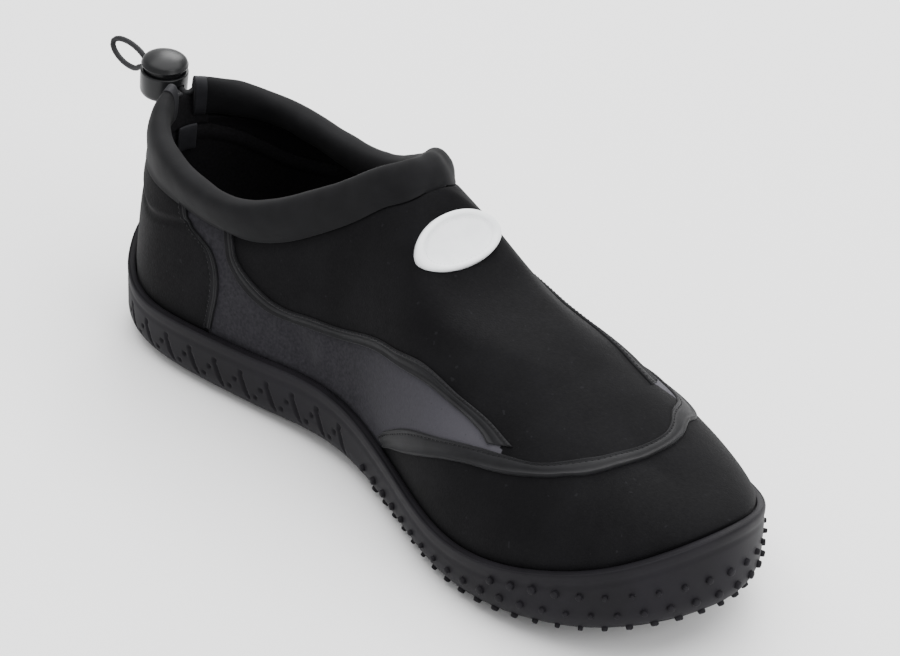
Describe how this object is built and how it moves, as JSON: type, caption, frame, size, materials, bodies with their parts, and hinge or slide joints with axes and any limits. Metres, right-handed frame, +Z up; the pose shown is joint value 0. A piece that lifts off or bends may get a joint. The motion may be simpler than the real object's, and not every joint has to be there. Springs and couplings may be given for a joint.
{
  "type": "water shoe",
  "caption": "Left slip-on water shoe: stretch upper with side panels, padded collar, studded rubber cup sole and a push-button cord lock at the heel.",
  "frame": {"origin": "on the floor, under the middle of the shoe's box, with the free drawcord left out", "axes": "+X towards the toe, +Y towards the outer side of the left foot, +Z up"},
  "size_m": [0.3155, 0.1054, 0.0999],
  "materials": {
    "sole_rubber": "matte moulded rubber",
    "stretch_black": "fine stretch knit over foam",
    "insole_foam": "matte foam",
    "collar_knit": "padded stretch knit",
    "tape_satin": "satin tape",
    "badge_rubber": "satin moulded badge",
    "lock_plastic": "semi-gloss",
    "cord_braid": "braided cord",
    "label_weave": "woven label"
  },
  "bodies": {
    "shoe": {"outsole": "sole_rubber", "insole": "insole_foam", "upper": "stretch_black", "collar": "collar_knit", "toe_tape": "tape_satin", "inner_side_tape": "tape_satin", "outer_side_tape": "tape_satin", "inner_heel_tape": "tape_satin", "outer_heel_tape": "tape_satin", "heel_label": "label_weave", "badge": "badge_rubber", "lock_barrel": "lock_plastic", "drawcord": "cord_braid"},
    "button": {"lock_button": "lock_plastic"}
  },
  "joints": [
    {"name": "lock_press", "type": "slide", "parent": "shoe", "child": "button", "axis": [-0.1045, 0, -0.9945], "range_m": [0, 0.0015], "stiffness_N_per_m": 800}
  ]
}
